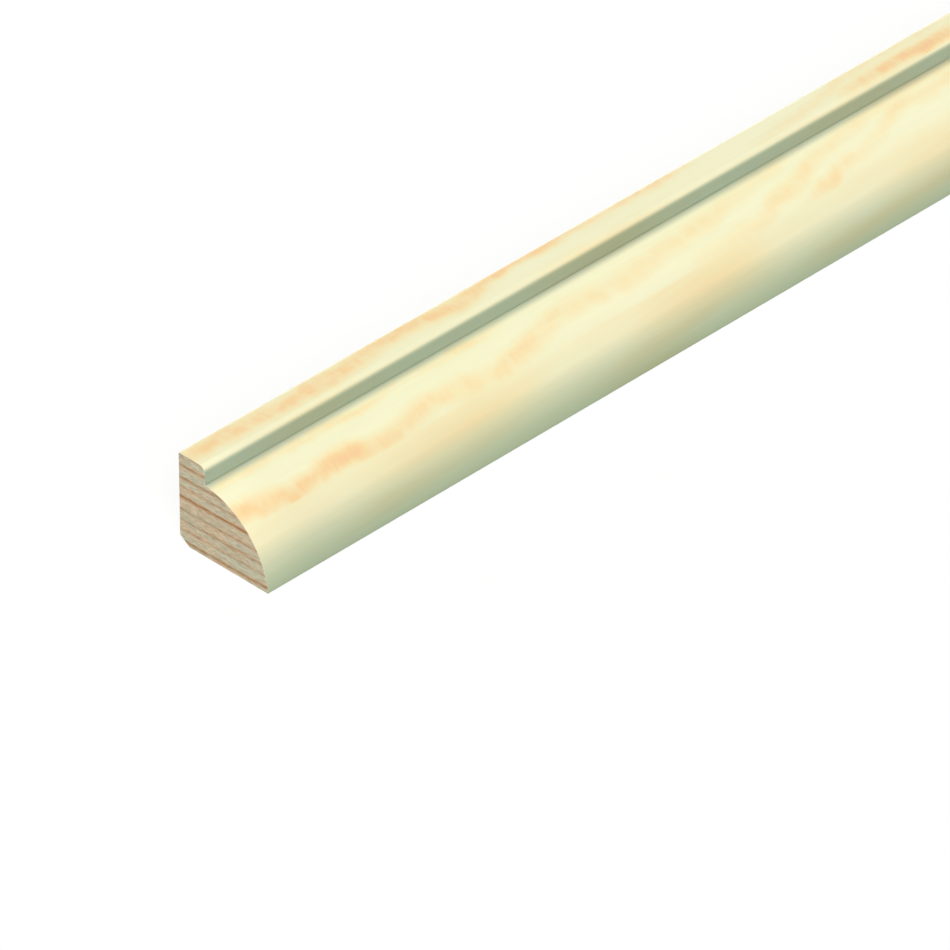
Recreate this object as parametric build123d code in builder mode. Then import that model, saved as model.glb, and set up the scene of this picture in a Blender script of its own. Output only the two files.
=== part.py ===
from build123d import *
import os

# Softwood glazing bead: one planed length of pine with a moulded section, cut square at both ends.
# Millimetres. +X runs along the length, -Y faces the room, +Y faces the glass and +Z is up from the bed of
# the rebate. The origin is under the middle of the bead, on the plane that its bed face lies on.

# Stock
bead_length = 1000.0
bead_depth = 16.0
bead_height = 14.0

# Flat nose along the glass edge, and the quirk that drops from it to the ovolo
nose_width = 4.7
nose_radius = 1.0
quirk_drop = 2.8

# Ovolo, from the foot of the quirk down to the toe
ovolo_radius = 12.25

# Chamfer that keeps the heel clear of the corner of the rebate
heel_up_glass_face = 1.2
heel_along_bed_face = 1.7

# Places in the section
glass_y = bead_depth / 2
toe_y = -bead_depth / 2
quirk_y = glass_y - nose_width
quirk_foot_z = bead_height - quirk_drop

with BuildPart() as bead:
    # The square-cut end, drawn with sharp corners, carried along the whole length
    with BuildSketch(Plane.YZ.offset(-bead_length / 2)):
        with BuildLine():
            flats = Polyline(
                (toe_y, 0),
                (glass_y, 0),
                (glass_y, bead_height),
                (quirk_y, bead_height),
                (quirk_y, quirk_foot_z),
            )
            RadiusArc(flats @ 1, flats @ 0, -ovolo_radius)
        make_face()
    extrude(amount=bead_length)

    # Room-side edge of the flat top, eased to the rounded nose
    top_edges = bead.edges().filter_by(Axis.X).group_by(Axis.Z)[-1]
    fillet(top_edges.sort_by(Axis.Y)[0], nose_radius)

    # Back edge of the bed face, taken off as the heel chamfer
    bed_edges = bead.edges().filter_by(Axis.X).group_by(Axis.Z)[0]
    glass_face = bead.faces().sort_by(Axis.Y)[-1]
    chamfer(bed_edges.sort_by(Axis.Y)[-1], heel_up_glass_face, heel_along_bed_face, reference=glass_face)

bead.part.label = "glazing_bead"

os.makedirs("parts", exist_ok=True)
export_step(bead.part, "parts/glazing_bead.step")
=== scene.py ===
import math

import bpy
import numpy as np
from mathutils import Matrix, Vector


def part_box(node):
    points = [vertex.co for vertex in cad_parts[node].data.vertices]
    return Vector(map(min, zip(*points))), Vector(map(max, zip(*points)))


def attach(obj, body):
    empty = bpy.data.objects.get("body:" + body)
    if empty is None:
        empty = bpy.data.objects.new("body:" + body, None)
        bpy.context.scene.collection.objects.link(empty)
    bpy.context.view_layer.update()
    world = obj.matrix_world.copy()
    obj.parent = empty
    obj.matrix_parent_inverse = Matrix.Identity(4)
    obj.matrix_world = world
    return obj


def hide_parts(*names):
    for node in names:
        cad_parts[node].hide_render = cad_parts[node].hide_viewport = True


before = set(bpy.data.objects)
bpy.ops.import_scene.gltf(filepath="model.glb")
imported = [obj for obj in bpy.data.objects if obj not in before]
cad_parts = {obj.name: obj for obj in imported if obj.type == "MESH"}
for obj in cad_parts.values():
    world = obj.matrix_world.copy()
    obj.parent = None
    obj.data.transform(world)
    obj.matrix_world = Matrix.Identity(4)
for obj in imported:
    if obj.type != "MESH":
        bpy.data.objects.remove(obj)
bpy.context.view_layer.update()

mm = 0.001
beadLow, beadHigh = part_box("glazing_bead")
length, depth, height = [(high - low) / mm for low, high in zip(beadLow, beadHigh)]
print("frame loaded: bead", round(length, 2), round(depth, 2), round(height, 2), "mm")


def linear(hexColour):
    # sRGB hex to linear light, the sRGB curve undone channel by channel
    srgb = np.array([int(hexColour[i:i + 2], 16) for i in (1, 3, 5)]) / 255
    light = np.where(srgb <= 0.04045, srgb / 12.92, ((srgb + 0.055) / 1.055) ** 2.4)
    return (*light.tolist(), 1.0)


def addNode(tree, kind, inputs=None, stops=(), blend="EASE", **settings):
    # One node: settings are its properties, inputs are values or the sockets that feed it, and stops fill
    # its ramp.
    node = tree.nodes.new(kind)
    for name, value in settings.items():
        setattr(node, name, value)
    for key, value in (inputs or {}).items():
        if isinstance(value, bpy.types.NodeSocket):
            tree.links.new(value, node.inputs[key])
        else:
            node.inputs[key].default_value = value
    if stops:
        band = node.color_ramp
        band.interpolation = blend
        while len(band.elements) < len(stops):
            band.elements.new(1.0)
        for element, (position, level) in zip(band.elements, stops):
            element.position = position
            element.color = level if isinstance(level, tuple) else (level, level, level, 1.0)
    return node.outputs


def newMaterial(name):
    material = bpy.data.materials.new(name)
    material.use_nodes = True
    material.node_tree.nodes.clear()
    return material, material.node_tree


# Bead

bead = dict(
    noseWidth=4.7,       # mm, flat top with its rounded nose
    noseRadius=1.0,
    quirkDrop=2.8,       # upright step below the nose
    ovoloRadius=12.25,
    heelUp=1.2,          # chamfer, up the glass face
    heelAlong=1.7,       # and along the bed face
    arris=0.12,          # long edges as a planer and one pass of fine paper leave them
    endArris=0.04,       # edges of the sawn ends, left sharp
    pointSpacing=0.4,    # along the section
    noseSpacing=0.135,   # and round its nose
    ringSpacing=8.0,     # along the length
    arrisSteps=4,
    sharpAngle=40.0,     # degrees, corners past this shade sharp
)


def straightRun(start, end, spacing, fewest=2):
    # even points from start to end
    start, end = np.array(start, float), np.array(end, float)
    count = max(int(np.linalg.norm(end - start) / spacing), fewest)
    share = np.linspace(0, 1, count + 1)[:, None]
    return start + (end - start) * share


def arcRun(centre, radius, fromAngle, toAngle, spacing, fewest=6):
    # centre plus radius times (cosine, sine) of even angles
    count = max(int(radius * abs(toAngle - fromAngle) / spacing), fewest)
    angle = np.linspace(fromAngle, toAngle, count + 1)
    return np.array(centre) + radius * np.stack([np.cos(angle), np.sin(angle)], 1)


def easedJoin(before, after, reach, steps):
    # a quadratic curve from the end of one run to the start of the next, controlled by the sharp corner
    corner = before[-1]
    leave = corner + (before[-2] - corner) * reach / np.linalg.norm(before[-2] - corner)
    enter = corner + (after[1] - corner) * reach / np.linalg.norm(after[1] - corner)
    t = np.linspace(0, 1, steps + 1)[:, None]
    return (1 - t) ** 2 * leave + 2 * t * (1 - t) * corner + t ** 2 * enter


def beadSection(b):
    # The moulded section as a closed loop of (u, v), with u from the glass face towards the room and v up
    # from the bed: straight runs and arcs, joined by eased corners.
    gap = b["pointSpacing"]
    noseInner = b["noseWidth"] - b["noseRadius"]
    noseFoot = height - b["noseRadius"]
    quirkFoot = np.array([b["noseWidth"], height - b["quirkDrop"]])
    toe = np.array([depth, 0.0])
    chord = toe - quirkFoot
    inward = np.array([chord[1], -chord[0]]) / np.linalg.norm(chord)
    rise = math.sqrt(b["ovoloRadius"] ** 2 - (chord @ chord) / 4)
    ovoloCentre = (quirkFoot + toe) / 2 + inward * rise
    headAngle = math.atan2(*(quirkFoot - ovoloCentre)[::-1])
    toeAngle = math.atan2(*(toe - ovoloCentre)[::-1])

    glassFace = straightRun((0, b["heelUp"]), (0, height), gap)
    top = straightRun((0, height), (noseInner, height), gap)
    nose = arcRun((noseInner, noseFoot), b["noseRadius"], math.pi / 2, 0, b["noseSpacing"])
    quirk = straightRun((b["noseWidth"], noseFoot), quirkFoot, gap)
    ovolo = arcRun(ovoloCentre, b["ovoloRadius"], headAngle, toeAngle, gap)
    bed = straightRun(toe, (b["heelAlong"], 0), gap)
    heel = straightRun((b["heelAlong"], 0), (0, b["heelUp"]), gap)

    roomSide = np.concatenate([top, nose[1:], quirk[1:], ovolo[1:]])
    runs = [glassFace, roomSide, bed, heel]
    loop = []
    for run, following in zip(runs, runs[1:] + runs[:1]):
        loop += [run[1:-1], easedJoin(run, following, b["arris"], b["arrisSteps"])]
    return np.concatenate(loop)


def beadMesh(b):
    # The section carried along the length. At each end the last rows draw in along the section's own
    # normals on a quarter circle, which eases the sawn edge, and one face closes the end. Both take the
    # end-grain finish.
    section = beadSection(b)
    along = np.roll(section, -1, 0) - np.roll(section, 1, 0)
    inward = np.stack([along[:, 1], -along[:, 0]], 1) / np.linalg.norm(along, axis=1)[:, None]

    turn = np.linspace(0, math.pi / 2, b["arrisSteps"] + 1)[:-1]
    easeIn = b["endArris"] * (1 - np.sin(turn))
    middle = np.linspace(b["endArris"], length - b["endArris"], int(length / b["ringSpacing"]))
    easeAt = b["endArris"] * (1 - np.cos(turn))
    station = np.concatenate([easeAt, middle, length - easeAt[::-1]])
    drawIn = np.concatenate([easeIn, np.zeros(len(middle)), easeIn[::-1]])

    rings, points = len(station), len(section)
    flat = section[None] + inward[None] * drawIn[:, None, None]
    place = np.empty((rings, points, 3))
    place[..., 0] = beadLow[0] + station[:, None] * mm
    place[..., 1] = beadHigh[1] - flat[..., 0] * mm
    place[..., 2] = beadLow[2] + flat[..., 1] * mm

    ring, point = np.meshgrid(np.arange(rings - 1), np.arange(points), indexing="ij")
    after = (point + 1) % points
    sides = np.stack([ring * points + point, ring * points + after,
                      (ring + 1) * points + after, (ring + 1) * points + point], -1).reshape(-1, 4)
    nearEnd = np.arange(points)[::-1]
    farEnd = (rings - 1) * points + np.arange(points)
    faces = sides.tolist() + [nearEnd.tolist(), farEnd.tolist()]

    mesh = bpy.data.meshes.new("glazingBead")
    mesh.from_pydata(place.reshape(-1, 3).tolist(), [], faces)
    sawnRing = np.ones(rings - 1, bool)
    sawnRing[b["arrisSteps"]:-b["arrisSteps"]] = False
    sawn = np.append(np.repeat(sawnRing, points), [True, True])
    mesh.polygons.foreach_set("material_index", sawn.astype(int))
    mesh.set_sharp_from_angle(angle=math.radians(b["sharpAngle"]))
    mesh.polygons.foreach_set("use_smooth", np.append(np.ones(len(sides), bool), [False, False]))
    mesh.update()
    mesh.validate()
    return mesh


beadPiece = bpy.data.objects.new("glazingBead", beadMesh(bead))
bpy.context.scene.collection.objects.link(beadPiece)
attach(beadPiece, "root")
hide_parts("glazing_bead")
print("bead made:", len(beadPiece.data.vertices), "points,", len(beadPiece.data.polygons), "faces")


# Pine

drawnBands = dict(
    # Bands over the first stretch of the stock, seen from above: half width in mm, then where the middle of
    # the band runs, as mm along and mm out, with its strength there.
    top=(1.35, (
        (0, 1.7, 0.76), (6, 1.7, 0.8), (13, 1.8, 0.8), (20, 2.0, 0.86), (27, 1.8, 0.88),
        (31, 1.2, 0.74), (35, 0.8, 0.76), (40, 1.0, 0.76), (45, 1.5, 0.86), (50, 1.4, 0.86),
        (54, 0.6, 0.58), (58, 0.2, 0.0))),
    topEdge=(0.95, (
        (48, 1.4, 0.0), (54, 0.6, 0.8), (58, 0.3, 0.85), (66, 0.4, 0.82), (73, 0.2, 0.57), (80, 0.3, 0.66),
        (90, 0.1, 0.5), (95, -0.4, 0.0))),
    topFar=(1.05, (
        (117, 3.0, 0.0), (122, 2.9, 0.7), (127, 2.9, 0.85), (132, 3.0, 1.0), (150, 3.1, 1.0))),
    topFaint=(0.85, (
        (100, 3.6, 0.0), (105, 3.3, 0.22), (112, 2.7, 0.3), (117, 2.0, 0.32), (120, 1.1, 0.38),
        (124, 0.6, 0.36), (150, 0.4, 0.2))),
    nose=(0.6, (
        (54, 4.3, 0.0), (64, 4.3, 0.17), (78, 4.3, 0.2), (90, 4.3, 0.0))),
    quirkFoot=(0.6, (
        (0, 6.0, 0.36), (10, 6.0, 0.4), (20, 6.2, 0.4), (27, 6.5, 0.44), (33, 5.8, 0.2), (40, 5.9, 0.28),
        (46, 6.2, 0.46), (52, 5.6, 0.1), (56, 5.2, 0.0))),
    ovolo=(1.15, (
        (0, 10.2, 0.86), (4, 10.3, 0.95), (8, 11.2, 0.98), (11, 11.5, 0.85), (14, 10.7, 0.78),
        (18, 10.4, 0.98), (21, 10.9, 0.94), (25, 11.5, 0.72), (29, 11.3, 0.56), (33, 10.4, 0.6),
        (36, 10.3, 0.6), (41, 10.9, 0.52), (45, 11.3, 0.5), (49, 10.6, 0.64), (54, 10.0, 0.54),
        (58, 9.2, 0.48), (63, 8.7, 0.52), (68, 9.0, 0.43), (72, 9.0, 0.46), (78, 8.6, 0.44),
        (84, 8.1, 0.42), (89, 7.7, 0.45), (94, 6.9, 0.3), (99, 6.1, 0.32), (104, 5.5, 0.28),
        (110, 4.6, 0.0))),
    ovoloNext=(1.0, (
        (76, 12.2, 0.0), (84, 11.8, 0.26), (90, 11.5, 0.4), (96, 11.2, 0.4), (101, 9.9, 0.48),
        (106, 8.9, 0.52), (109, 7.9, 0.44), (114, 7.2, 0.36), (120, 6.1, 0.34), (126, 5.3, 0.4),
        (150, 5.0, 0.4))),
    ovoloFar=(0.9, (
        (101, 12.2, 0.0), (106, 11.6, 0.5), (109, 11.3, 0.66), (112, 10.7, 0.48), (117, 9.9, 0.3),
        (121, 9.1, 0.34), (124, 7.7, 0.5), (127, 7.2, 0.45), (131, 7.6, 0.34), (136, 6.9, 0.46),
        (150, 6.5, 0.45))),
    ovoloLow=(1.0, (
        (18, 12.2, 0.0), (28, 12.2, 0.15), (44, 12.2, 0.15), (56, 12.2, 0.06), (66, 12.2, 0.13),
        (78, 12.2, 0.05), (90, 12.2, 0.15), (102, 12.2, 0.08), (114, 12.2, 0.17), (124, 12.2, 0.26),
        (150, 12.2, 0.25))),
)
drawnStreaks = dict(
    # the same seen from the side, as mm along and mm up
    nearUpper=(1.9, (
        (0, 7.2, 0.14), (10, 7.2, 0.14), (18, 6.6, 0.12), (26, 6.4, 0.32), (33, 6.4, 0.43),
        (42, 6.4, 0.42), (50, 6.4, 0.22), (55, 6.4, 0.0))),
    nearLower=(1.1, (
        (12, 2.4, 0.0), (20, 2.9, 0.22), (26, 3.0, 0.3), (34, 3.5, 0.24), (40, 4.0, 0.3),
        (47, 4.2, 0.14), (52, 4.3, 0.0))),
    nextUpper=(2.2, (
        (64, 6.4, 0.0), (72, 6.3, 0.28), (79, 6.3, 0.44), (85, 6.3, 0.46), (91, 6.4, 0.35),
        (97, 6.5, 0.05))),
    nextLower=(1.2, (
        (56, 1.5, 0.0), (64, 2.2, 0.26), (70, 2.7, 0.34), (76, 3.3, 0.38), (83, 4.0, 0.38),
        (90, 4.2, 0.26), (97, 4.3, 0.0))),
    nextToe=(1.0, (
        (58, 0.6, 0.0), (66, 0.8, 0.34), (74, 0.8, 0.34), (82, 0.6, 0.0))),
    farUpper=(2.2, (
        (112, 6.0, 0.0), (120, 6.0, 0.2), (128, 6.0, 0.34), (150, 6.0, 0.3))),
    farLower=(1.1, (
        (97, 1.6, 0.0), (104, 2.0, 0.28), (112, 2.3, 0.36), (120, 2.9, 0.34), (127, 3.3, 0.38),
        (150, 4.0, 0.3))),
    quirk=(4.0, (
        (6, 12.0, 0.0), (14, 12.0, 0.2), (22, 12.0, 0.26), (38, 12.0, 0.0), (54, 12.0, 0.0),
        (62, 12.0, 0.23), (73, 12.0, 0.44), (82, 12.0, 0.23), (92, 12.0, 0.0), (103, 12.0, 0.03),
        (112, 12.0, 0.23), (120, 12.0, 0.3), (136, 12.0, 0.05), (150, 12.0, 0.0))),
)
drawing = dict(
    reach=150.0,               # mm along that the drawn paths cover
    ease=12.0,                 # mm at its end over which they give way to the plain bands
    gone=2.0,                  # half widths from its middle at which a drawn band has faded out
    whole=0.1,                 # and within which it has its full strength
)

figure = dict(
    # bands over the rest of the stock, in mm across and along it
    bandStart=10.7,            # a strong band's middle at the sawn end, from the glass, before it wanders
    bandPitch=9.2,             # from one strong band to the next
    bandRise=2.8,              # soft edge towards the glass
    bandHold=0.05,
    bandFall=2.0,              # soft edge towards the room
    strongBands=0.85,
    betweenBands=0.45,         # strength of the weaker band half way
    slide=5.4,                 # how far the bands drift across the stock, and back, along slideLength
    slideLength=450.0,
    wander=3.9,                # slow bends
    wanderSize=(31.0, 60.0),
    wanderFrom=(2.0, 29.0),
    scallop=1.2,               # waves along the edge of a band
    scallopSize=(14.0, 15.0),
    scallopFrom=(58.0, 19.0),
    fadeSize=(48.0, 13.0),     # stretches where these bands pale
    fadeFrom=(51.0, 42.0),
    fadeSpan=(0.32, 0.62),     # share of the noise over which they come back
    fadeLeast=0.5,
    blotchSize=(8.0, 3.0),
    blotchFrom=(3.0, 1.0),
    blotchSpan=(0.35, 0.65),
    blotchLeast=0.7,
    # all bands, drawn and plain
    fray=0.8,                  # ragged outline
    fraySize=(4.0, 5.0),
    frayFrom=(4.0, 7.0),
    feather=0.18,              # torn fibres across the edge
    featherSize=(0.7, 5.0),
    featherFrom=(0.0, 0.0),
    deepen=1.36,               # gain on the strength, which the blotches take back in part
    coreSize=(2.2, 2.6),       # deeper blotches within the bands
    coreFrom=(5.0, 2.0),
    coreSpan=(0.3, 0.65),
    coreLeast=0.66,
    fleckSize=(0.6, 3.5),      # short flecks across the bands
    fleckFrom=(9.0, 4.0),
    fleckSpan=(0.25, 0.75),
    fleckLeast=0.86,
    # rings on edge, seen from the side
    streakLeast=0.15,
    streak=0.3,
    sway=0.5,                  # ragged outline
    swaySize=(6.0, 1.5),
    swayFrom=(3.0, 8.0),
    streakSize=(33.0, 3.0),
    streakFrom=(52.0, 62.0),
    streakSpan=(0.44, 0.64),
    streakRise=0.075,          # climb for each mm along
    thinStreak=0.3,            # thin lines over the streaks
    thinSize=(24.0, 0.7),
    thinFrom=(11.0, 6.0),
    # mottled ground and fibres
    mottleSize=(26.0, 5.0),
    mottleSpan=(0.35, 0.65),
    fibreSize=(18.0, 0.35),
    fibreSpan=(0.3, 0.7),
)

pine = dict(
    cream="#f1e9c5",           # ground
    honey="#f1e9c3",           # its warmer patches
    between="#fbffff",         # tint of the ground between bands
    straw="#fdf4e6",           # tint of a band of half strength
    peach="#fee2c7",           # tint of a band of full strength
    salmon="#fdd8c3",          # tint of its deepest blotches
    deepest=1.3,               # their strength
    streaksUpTo=0.72,          # upward part of the normal at which streaks start to give way to bands
    bandsFrom=0.745,           # and at which only bands are left
    facesRoom=0.81,            # roomward part of the normal at which the painted shades below set in
    toePaintedShade="#ccdedd",         # painted shade on the toe of the ovolo, a little darker and cooler
    quirkPaintedShade="#bccfd8",       # painted shade on the quirk, darker and cooler again
    toeUpTo=-1.0,              # mm from the foot of the quirk, where the toe's painted shade starts to give way
    quirkFrom=-0.1,            # where the quirk's is whole
    quirkUpTo=1.6,             # and where it starts to fade towards the top
    creasePaintedShade="#c2ccd2",     # painted shade on the head of the ovolo beside the quirk
    creaseReach=1.5,           # mm over which it fades out
    creaseLinePaintedShade="#adbcc0",      # painted shade, a darker line in the crease
    creaseLine=0.3,            # mm
    fibreShade=(0.985, 1.015), # darkest and lightest fibres
    relief=0.03,               # mm, depth of the fibres
    reliefStrength=0.15,
    roughness=0.6,
    ior=1.5,
    specular=0.2,
)


def stockPlace(tree):
    # place in the stock in mm: along from the sawn end, out from the glass face, up from the bed
    coordinate = addNode(tree, "ShaderNodeTexCoord")
    stock = addNode(tree, "ShaderNodeMapping", {
        "Vector": coordinate["Object"],
        "Location": (-beadLow[0] / mm, beadHigh[1] / mm, -beadLow[2] / mm),
        "Scale": (1 / mm, -1 / mm, 1 / mm)})
    return addNode(tree, "ShaderNodeSeparateXYZ", {0: stock[0]})


def grain(tree, one, other, size, start=(0.0, 0.0), detail=1.0, roughness=0.5):
    # soft noise over two directions, with features about size mm each way
    flat = addNode(tree, "ShaderNodeCombineXYZ", {0: one, 1: other})
    betweenLattices = 0.5      # half way from one lattice plane of the noise to the next
    scaled = addNode(tree, "ShaderNodeMapping", {
        "Vector": flat[0],
        "Scale": (1 / size[0], 1 / size[1], 1.0),
        "Location": (*start, betweenLattices)})
    return addNode(tree, "ShaderNodeTexNoise", {
        "Vector": scaled[0], "Scale": 1.0, "Detail": detail, "Roughness": roughness})[0]


def patchy(tree, f, patch, along, out, strength):
    # strength times soft noise, which runs from the least share up to all of it
    low, high = f[patch + "Span"]
    share = addNode(tree, "ShaderNodeMapRange", {
        "Value": grain(tree, along, out, f[patch + "Size"], f[patch + "From"]),
        "From Min": low, "From Max": high, "To Min": f[patch + "Least"]},
        interpolation_type="SMOOTHSTEP")
    return addNode(tree, "ShaderNodeMath", {0: strength, 1: share[0]}, operation="MULTIPLY")[0]


def shifted(tree, f, shift, along, across):
    # place across, moved either way by soft noise
    noise = grain(tree, along, across, f[shift + "Size"], f[shift + "From"])
    centred = addNode(tree, "ShaderNodeMath", {0: noise, 1: 0.5}, operation="SUBTRACT")
    return addNode(tree, "ShaderNodeMath", {
        0: centred[0], 1: 2 * f[shift], 2: across}, operation="MULTIPLY_ADD")[0]


def drawnBand(tree, d, half, path, along, across):
    # the middle and the strength follow the drawn path, and the band fades out on both sides of it
    share = addNode(tree, "ShaderNodeMath", {0: along, 1: d["reach"]}, operation="DIVIDE")
    route = addNode(tree, "ShaderNodeValToRGB", {"Fac": share[0]}, blend="CARDINAL", stops=[
        (at / d["reach"], (middle / depth, strength, 0.0, 1.0)) for at, middle, strength in path])
    middle, strength = addNode(tree, "ShaderNodeSeparateColor", {0: route[0]})[:2]
    aside = addNode(tree, "ShaderNodeMath", {0: middle, 1: -depth, 2: across}, operation="MULTIPLY_ADD")
    away = addNode(tree, "ShaderNodeMath", {0: aside[0]}, operation="ABSOLUTE")
    return addNode(tree, "ShaderNodeMapRange", {
        "Value": away[0], "From Min": d["gone"] * half, "From Max": d["whole"] * half, "To Max": strength},
        interpolation_type="SMOOTHSTEP")[0]


def drawnThenPlain(tree, d, bands, plain, along, across):
    # the strongest of the drawn bands at each place, easing into the plain ones at the end of their reach
    strongest = 0.0
    for half, path in bands.values():
        strongest = addNode(tree, "ShaderNodeMath", {
            0: strongest, 1: drawnBand(tree, d, half, path, along, across)}, operation="MAXIMUM")[0]
    beyond = addNode(tree, "ShaderNodeMapRange", {
        "Value": along, "From Min": d["reach"] - d["ease"], "From Max": d["reach"]},
        interpolation_type="SMOOTHSTEP")
    return addNode(tree, "ShaderNodeMix", {"Factor": beyond[0], 2: strongest, 3: plain})[0]


def plainBands(tree, f, along, out):
    # Place across the stock, plus the slide, wander and scallop, divided by the pitch. The fraction goes
    # through a ramp with the strong band in its middle and the weak one at its ends, and is then faded and
    # blotched.
    turn = addNode(tree, "ShaderNodeMath", {
        0: along, 1: 2 * math.pi / f["slideLength"]}, operation="MULTIPLY")
    cosine = addNode(tree, "ShaderNodeMath", {0: turn[0]}, operation="COSINE")
    place = addNode(tree, "ShaderNodeMath", {
        0: cosine[0], 1: -f["slide"], 2: out}, operation="MULTIPLY_ADD")
    middle = f["bandStart"] - f["slide"]
    for shift in ("wander", "scallop"):
        noise = grain(tree, along, out, f[shift + "Size"], f[shift + "From"])
        place = addNode(tree, "ShaderNodeMath", {
            0: noise, 1: 2 * f[shift], 2: place[0]}, operation="MULTIPLY_ADD")
        middle += f[shift]
    pitch = f["bandPitch"]
    turns = addNode(tree, "ShaderNodeMath", {
        0: place[0], 1: 1 / pitch, 2: 0.5 - middle / pitch}, operation="MULTIPLY_ADD")
    fraction = addNode(tree, "ShaderNodeMath", {0: turns[0]}, operation="FRACT")
    hold, rise, fall = [f[edge] / pitch for edge in ("bandHold", "bandRise", "bandFall")]
    strong, weak = f["strongBands"], f["betweenBands"]
    band = addNode(tree, "ShaderNodeValToRGB", {"Fac": fraction[0]}, stops=[
        (0.0, weak), (hold, weak), (hold + fall, 0.0),
        (0.5 - hold - rise, 0.0), (0.5 - hold, strong), (0.5 + hold, strong), (0.5 + hold + fall, 0.0),
        (1 - hold - rise, 0.0), (1 - hold, weak), (1.0, weak)])
    faded = patchy(tree, f, "fade", along, out, band[0])
    return patchy(tree, f, "blotch", along, out, faded)


def flatSawnFigure(tree, f, along, out):
    # the drawn bands, then the plain ones, all frayed, torn, blotched and flecked
    frayed = shifted(tree, f, "fray", along, out)
    torn = shifted(tree, f, "feather", along, frayed)
    bands = drawnThenPlain(tree, drawing, drawnBands, plainBands(tree, f, along, torn), along, torn)
    deep = addNode(tree, "ShaderNodeMath", {0: bands, 1: f["deepen"]}, operation="MULTIPLY")
    cored = patchy(tree, f, "core", along, out, deep[0])
    return patchy(tree, f, "fleck", along, out, cored)


def edgeStreaks(tree, f, along, up):
    # The drawn streaks, then noise drawn out along the stock, climbing a little and eased from nothing to
    # the streak's strength. Thin lines of noise run over both, on a faint ground.
    climbed = addNode(tree, "ShaderNodeMath", {
        0: along, 1: -f["streakRise"], 2: up}, operation="MULTIPLY_ADD")
    noise = grain(tree, along, climbed[0], f["streakSize"], f["streakFrom"], detail=2.0, roughness=0.6)
    low, high = f["streakSpan"]
    plain = addNode(tree, "ShaderNodeMapRange", {
        "Value": noise, "From Min": low, "From Max": high, "To Max": f["streak"]},
        interpolation_type="SMOOTHSTEP")
    swayed = shifted(tree, f, "sway", along, up)
    streaks = drawnThenPlain(tree, drawing, drawnStreaks, plain[0], along, swayed)
    thin = grain(tree, along, climbed[0], f["thinSize"], f["thinFrom"])
    lined = addNode(tree, "ShaderNodeMath", {
        0: thin, 1: f["thinStreak"], 2: streaks}, operation="MULTIPLY_ADD")
    least = f["streakLeast"] - f["thinStreak"] / 2
    return addNode(tree, "ShaderNodeMath", {0: lined[0], 1: least}, operation="ADD")[0]


def paintedShade(tree, p, out, up, normalOut):
    # Painted shade for the pine's colour: white on level wood, shaded over the crease's reach from the
    # foot of the quirk. Where the moulding faces the room it takes the toe's painted shade, or above the
    # ovolo the quirk's. The crease itself is painted as a thin darker line of shade.
    footOut, footUp = bead["noseWidth"], height - bead["quirkDrop"]
    toePaintedShade, quirkPaintedShade = linear(p["toePaintedShade"]), linear(p["quirkPaintedShade"])
    flat = addNode(tree, "ShaderNodeCombineXYZ", {1: out, 2: up})
    reach = addNode(tree, "ShaderNodeVectorMath", {
        0: flat[0], 1: (0.0, footOut, footUp)}, operation="DISTANCE")
    crease = addNode(tree, "ShaderNodeMapRange", {
        "Value": reach["Value"], "From Min": p["creaseReach"], "From Max": 0.0},
        interpolation_type="SMOOTHSTEP")
    creased = addNode(tree, "ShaderNodeMix", {
        "Factor": crease[0], 6: linear("#ffffff"), 7: linear(p["creasePaintedShade"])}, data_type="RGBA")
    share = addNode(tree, "ShaderNodeMath", {0: up, 1: height}, operation="DIVIDE")
    tone = addNode(tree, "ShaderNodeValToRGB", {"Fac": share[0]}, stops=[
        (0.0, toePaintedShade), ((footUp + p["toeUpTo"]) / height, toePaintedShade),
        ((footUp + p["quirkFrom"]) / height, quirkPaintedShade), ((footUp + p["quirkUpTo"]) / height, quirkPaintedShade),
        (1.0, toePaintedShade)])
    facing = addNode(tree, "ShaderNodeMapRange", {
        "Value": normalOut, "From Min": -p["facesRoom"], "From Max": -1.0})
    faced = addNode(tree, "ShaderNodeMix", {
        "Factor": facing[0], 6: creased[2], 7: tone[0]}, data_type="RGBA")
    line = addNode(tree, "ShaderNodeMapRange", {
        "Value": reach["Value"], "From Min": p["creaseLine"], "From Max": 0.0},
        interpolation_type="SMOOTHSTEP")
    return addNode(tree, "ShaderNodeMix", {
        "Factor": line[0], 6: faced[2], 7: linear(p["creaseLinePaintedShade"])},
        data_type="RGBA", blend_type="DARKEN")[2]


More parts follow.
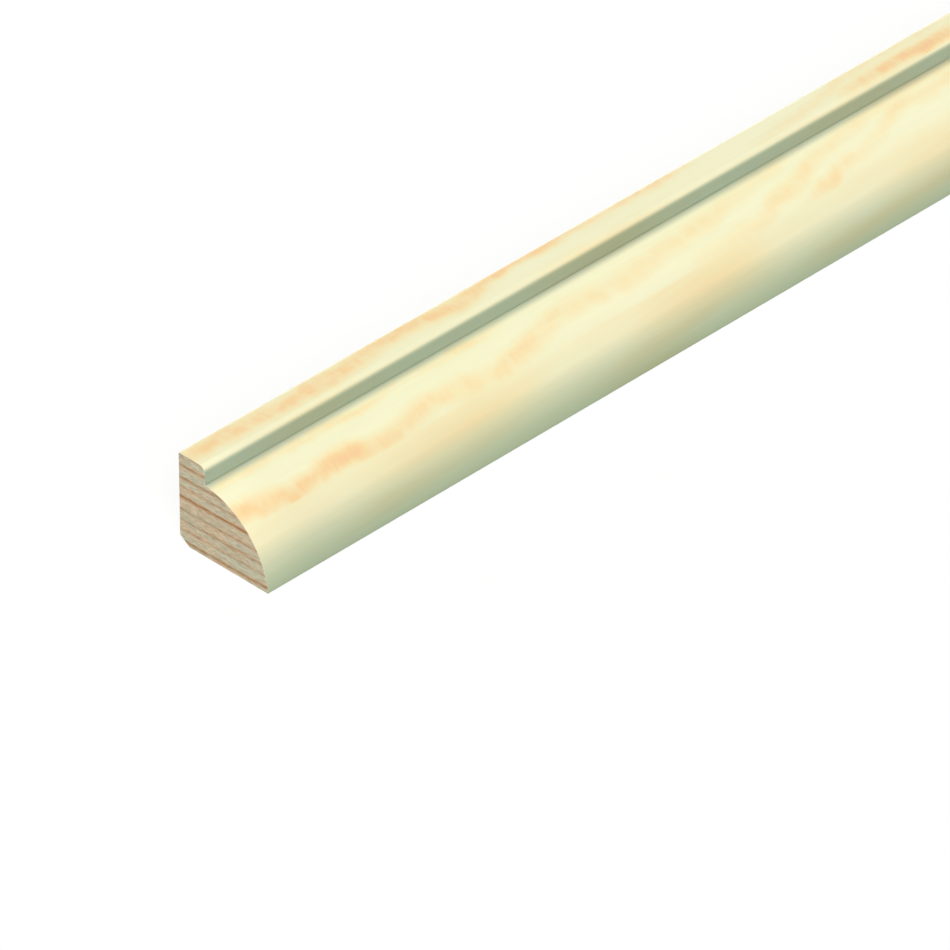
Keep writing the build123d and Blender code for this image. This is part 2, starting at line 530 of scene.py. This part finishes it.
def planedPine(f, p):
    # Planed pine: knives leave it smooth and dull, pale cream with soft peach bands where the growth rings
    # run out at the surface, and soft streaks where they stand on edge.
    material, tree = newMaterial("planedPine")
    along, out, up = stockPlace(tree)
    geometry = addNode(tree, "ShaderNodeNewGeometry")
    normal = addNode(tree, "ShaderNodeSeparateXYZ", {0: geometry["Normal"]})

    # bands where the surface is level, streaks where it is upright
    upness = addNode(tree, "ShaderNodeMath", {0: normal[2]}, operation="ABSOLUTE")
    level = addNode(tree, "ShaderNodeMapRange", {
        "Value": upness[0], "From Min": p["streaksUpTo"], "From Max": p["bandsFrom"]},
        interpolation_type="SMOOTHSTEP")
    lateWood = addNode(tree, "ShaderNodeMix", {
        "Factor": level[0], 2: edgeStreaks(tree, f, along, up), 3: flatSawnFigure(tree, f, along, out)})
    deepness = addNode(tree, "ShaderNodeMath", {0: lateWood[0], 1: p["deepest"]}, operation="DIVIDE")
    tint = addNode(tree, "ShaderNodeValToRGB", {"Fac": deepness[0]}, blend="LINEAR", stops=[
        (0.0, linear(p["between"])), (0.5 / p["deepest"], linear(p["straw"])),
        (1.0 / p["deepest"], linear(p["peach"])), (1.0, linear(p["salmon"]))])

    # ground and fibres, over the width and the height together
    across = addNode(tree, "ShaderNodeMath", {0: out, 1: up}, operation="ADD")
    mottleLow, mottleHigh = f["mottleSpan"]
    mottle = addNode(tree, "ShaderNodeMapRange", {
        "Value": grain(tree, along, across[0], f["mottleSize"], detail=2.0),
        "From Min": mottleLow, "From Max": mottleHigh}, interpolation_type="SMOOTHSTEP")
    ground = addNode(tree, "ShaderNodeMix", {
        "Factor": mottle[0], 6: linear(p["cream"]), 7: linear(p["honey"])}, data_type="RGBA")
    fibre = grain(tree, along, across[0], f["fibreSize"], detail=3.0, roughness=0.6)
    fibreLow, fibreHigh = f["fibreSpan"]
    darkest, lightest = p["fibreShade"]
    fibreShade = addNode(tree, "ShaderNodeMapRange", {
        "Value": fibre, "From Min": fibreLow, "From Max": fibreHigh,
        "To Min": darkest, "To Max": lightest})

    tinted = addNode(tree, "ShaderNodeVectorMath", {0: ground[2], 1: tint[0]}, operation="MULTIPLY")
    # painted shade: toe, quirk and crease made darker and cooler in the colour
    toned = addNode(tree, "ShaderNodeVectorMath", {
        0: tinted[0], 1: paintedShade(tree, p, out, up, normal[1])}, operation="MULTIPLY")
    shaded = addNode(tree, "ShaderNodeVectorMath", {
        0: toned[0], "Scale": fibreShade[0]}, operation="SCALE")
    bump = addNode(tree, "ShaderNodeBump", {
        "Height": fibre, "Strength": p["reliefStrength"], "Distance": p["relief"] * mm})
    surface = addNode(tree, "ShaderNodeBsdfPrincipled", {
        "Base Color": shaded[0], "Normal": bump[0],
        "Roughness": p["roughness"], "IOR": p["ior"], "Specular IOR Level": p["specular"]})
    addNode(tree, "ShaderNodeOutputMaterial", {"Surface": surface[0]})
    return material


endGrain = dict(
    # growth rings on the sawn end: height at the glass face in mm, and how dark the late wood is
    rings=((0.55, 0.85), (2.3, 0.45), (3.8, 0.55), (5.45, 0.6), (7.4, 1.0),
           (8.95, 0.5), (10.4, 0.8), (12.3, 0.75), (13.8, 0.3)),
    lateWood=0.46,             # mm, thickness of the dark late wood in a ring
    leastShare=0.6,            # share of it that the faintest ring has
    darkShare=0.6,             # and what a fully dark one has on top
    early=0.5,                 # mm over which it darkens
    ends=0.1,                  # mm past its thickness at which it has ended
    ringRise=0.02,             # rise of the rings for each mm towards the room
    above=1.0,                 # mm above the bead that the ramp of rings still covers
    wander=0.12,               # mm up and down
    wanderSize=(4.0, 2.0),
    brokenSize=(1.8, 0.5),     # stretches where a ring pales
    brokenFrom=(7.0, 3.0),
    brokenSpan=(0.3, 0.6),
    brokenLeast=0.65,
    patchSize=(6.0, 0.55),     # grey and rosy patches
    patchFrom=(5.0, 2.0),
    patchSpan=(0.35, 0.65),
    fibreSize=(0.9, 0.15),     # drawn coarser than real fibres, to show
    fibreSpan=(0.3, 0.7),
    fibreShade=(0.74, 1.27),   # darkest and lightest fibres
    grey="#d3caaf",
    rosy="#dfc3a3",
    late="#b97b45",
    relief=0.05,               # mm, depth of the fibres
    reliefStrength=0.3,
    roughness=0.85,
    ior=1.5,
    specular=0.2,
)


def sawnEndGrain(e):
    # Sawn end grain: the saw leaves it dull and fuzzy, greyer than the faces, with thin red-brown late
    # wood. Height, less the rings' rise and with a little wander, goes through a ramp that holds each ring.
    material, tree = newMaterial("sawnEndGrain")
    out, up = stockPlace(tree)[1:]
    wander = addNode(tree, "ShaderNodeMath", {
        0: grain(tree, out, up, e["wanderSize"], detail=2.0), 1: 2 * e["wander"], 2: up},
        operation="MULTIPLY_ADD")
    ring = addNode(tree, "ShaderNodeMath", {
        0: out, 1: -e["ringRise"], 2: wander[0]}, operation="MULTIPLY_ADD")
    span = height + e["above"]
    share = addNode(tree, "ShaderNodeMath", {
        0: ring[0], 1: 1 / span, 2: -e["wander"] / span}, operation="MULTIPLY_ADD")
    stops = []
    for at, dark in e["rings"]:
        half = e["lateWood"] / 2 * (e["leastShare"] + e["darkShare"] * dark)
        starts = max(at - half - e["early"] / 2, 0.0)
        ends = at + half + e["ends"]
        stops += [(starts / span, 0.0), (at / span, dark), (ends / span, 0.0)]
    lateWood = addNode(tree, "ShaderNodeValToRGB", {"Fac": share[0]}, stops=stops)
    brokenLow, brokenHigh = e["brokenSpan"]
    broken = addNode(tree, "ShaderNodeMapRange", {
        "Value": grain(tree, out, ring[0], e["brokenSize"], e["brokenFrom"]),
        "From Min": brokenLow, "From Max": brokenHigh, "To Min": e["brokenLeast"]})
    ringShown = addNode(tree, "ShaderNodeMath", {0: lateWood[0], 1: broken[0]}, operation="MULTIPLY")

    patchLow, patchHigh = e["patchSpan"]
    patch = addNode(tree, "ShaderNodeMapRange", {
        "Value": grain(tree, out, ring[0], e["patchSize"], e["patchFrom"]),
        "From Min": patchLow, "From Max": patchHigh})
    ground = addNode(tree, "ShaderNodeMix", {
        "Factor": patch[0], 6: linear(e["grey"]), 7: linear(e["rosy"])}, data_type="RGBA")
    lined = addNode(tree, "ShaderNodeMix", {
        "Factor": ringShown[0], 6: ground[2], 7: linear(e["late"])}, data_type="RGBA")
    fibre = grain(tree, out, ring[0], e["fibreSize"], detail=2.0, roughness=0.6)
    fibreLow, fibreHigh = e["fibreSpan"]
    darkest, lightest = e["fibreShade"]
    fibreShade = addNode(tree, "ShaderNodeMapRange", {
        "Value": fibre, "From Min": fibreLow, "From Max": fibreHigh,
        "To Min": darkest, "To Max": lightest})
    shaded = addNode(tree, "ShaderNodeVectorMath", {
        0: lined[2], "Scale": fibreShade[0]}, operation="SCALE")
    bump = addNode(tree, "ShaderNodeBump", {
        "Height": fibre, "Strength": e["reliefStrength"], "Distance": e["relief"] * mm})
    surface = addNode(tree, "ShaderNodeBsdfPrincipled", {
        "Base Color": shaded[0], "Normal": bump[0],
        "Roughness": e["roughness"], "IOR": e["ior"], "Specular IOR Level": e["specular"]})
    addNode(tree, "ShaderNodeOutputMaterial", {"Surface": surface[0]})
    return material


beadPiece.data.materials.append(planedPine(figure, pine))
beadPiece.data.materials.append(sawnEndGrain(endGrain))
print("pine finishes made")


# Floor, light and camera

studio = dict(
    floorSide=40.0,          # m
    floorBounce="#4c6c68",   # what the floor sends back to the bead
    shadowShare=0.22,        # how much of the floor's own shading the camera sees
    skyColour="#b4dcd4",
    skyStrength=0.16,
)


def seenDirectly(tree):
    # 1 for rays from the camera and for mirror or clear ones, which see the white surround
    path = addNode(tree, "ShaderNodeLightPath")
    shiny = addNode(tree, "ShaderNodeMath", {
        0: path["Is Glossy Ray"], 1: path["Is Transmission Ray"]}, operation="MAXIMUM")
    return addNode(tree, "ShaderNodeMath", {
        0: path["Is Camera Ray"], 1: shiny[0]}, operation="MAXIMUM")[0]


def whiteFloor(s):
    # Matt white sheet: white to the camera, with a share of its own shading kept for the bead's shadow.
    material, tree = newMaterial("mattWhiteSheet")
    direct = seenDirectly(tree)
    paint = addNode(tree, "ShaderNodeMix", {
        "Factor": direct, 6: linear(s["floorBounce"]), 7: linear("#ffffff")}, data_type="RGBA")
    matt = addNode(tree, "ShaderNodeBsdfDiffuse", {"Color": paint[2]})
    white = addNode(tree, "ShaderNodeEmission", {"Color": linear("#ffffff"), "Strength": 1.0})
    share = addNode(tree, "ShaderNodeMath", {0: direct, 1: 1 - s["shadowShare"]}, operation="MULTIPLY")
    both = addNode(tree, "ShaderNodeMixShader", {0: share[0], 1: matt[0], 2: white[0]})
    addNode(tree, "ShaderNodeOutputMaterial", {"Surface": both[0]})
    return material


def makeFloor(s):
    half = s["floorSide"] / 2
    corners = [(-half, -half), (half, -half), (half, half), (-half, half)]
    mesh = bpy.data.meshes.new("floor")
    mesh.from_pydata([(x, y, beadLow[2]) for x, y in corners], [], [(0, 1, 2, 3)])
    mesh.materials.append(whiteFloor(s))
    floor = bpy.data.objects.new("floor", mesh)
    bpy.context.scene.collection.objects.link(floor)


def makeSky(s):
    # soft tinted light on the bead, white to the camera
    world = bpy.data.worlds.new("studio")
    world.use_nodes = True
    tree = world.node_tree
    tree.nodes.clear()
    soft = addNode(tree, "ShaderNodeBackground", {
        "Color": linear(s["skyColour"]), "Strength": s["skyStrength"]})
    white = addNode(tree, "ShaderNodeBackground", {"Color": linear("#ffffff"), "Strength": 1.0})
    both = addNode(tree, "ShaderNodeMixShader", {0: seenDirectly(tree), 1: soft[0], 2: white[0]})
    addNode(tree, "ShaderNodeOutputWorld", {"Surface": both[0]})
    bpy.context.scene.world = world


lamps = dict(
    # where each lamp stands as seen from the bead, its level on a face square to it, its spread in degrees
    # and its colour
    topKey=dict(toward=(-0.45, 0.19, 0.87), level=0.275, spread=26.0, colour="#fbfaee"),
    frontKey=dict(toward=(-0.52, -0.55, 0.65), level=1.02, spread=40.0, colour="#fffcff"),
    backFill=dict(toward=(0.60, 0.75, 0.04), level=0.95, spread=10.0, colour="#fff2f2"),
)


def makeLamp(name, lamp):
    sun = bpy.data.lights.new(name, "SUN")
    sun.energy = math.pi * lamp["level"]          # a sun of pi shows a white face as white
    sun.angle = math.radians(lamp["spread"])
    sun.color = linear(lamp["colour"])[:3]
    holder = bpy.data.objects.new(name, sun)
    holder.rotation_mode = "QUATERNION"
    holder.rotation_quaternion = Vector(lamp["toward"]).to_track_quat("Z", "Y")
    bpy.context.scene.collection.objects.link(holder)


view = dict(
    lens=399.35,          # mm
    sensor=36.0,          # mm across
    azimuth=-45.229,      # degrees, 0 looks along +Y
    elevation=35.507,
    across=37.544,        # mm from the sawn end's lower back corner to the camera, along the picture
    above=8.520,          # up the picture
    away=1342.41,         # and towards the camera
)


def makeCamera(v):
    # from that corner along the picture's own right, up and back directions
    azimuth, elevation = math.radians(v["azimuth"]), math.radians(v["elevation"])
    back = Vector((math.sin(azimuth) * math.cos(elevation), -math.cos(azimuth) * math.cos(elevation),
                   math.sin(elevation)))
    right = Vector((math.cos(azimuth), math.sin(azimuth), 0))
    upward = back.cross(right)
    corner = Vector((beadLow[0], beadHigh[1], beadLow[2]))
    camera = bpy.data.objects.new("camera", bpy.data.cameras.new("camera"))
    camera.data.lens = v["lens"]
    camera.data.sensor_width = v["sensor"]
    turn = Matrix((right, upward, back)).transposed()
    stand = corner + (right * v["across"] + upward * v["above"] + back * v["away"]) * mm
    camera.matrix_world = Matrix.Translation(stand) @ turn.to_4x4()
    bpy.context.scene.collection.objects.link(camera)
    bpy.context.scene.camera = camera


makeFloor(studio)
makeSky(studio)
for lampName, lampSettings in lamps.items():
    makeLamp(lampName, lampSettings)
makeCamera(view)
bpy.context.scene.view_settings.view_transform = "Standard"
print("floor, light and camera made")
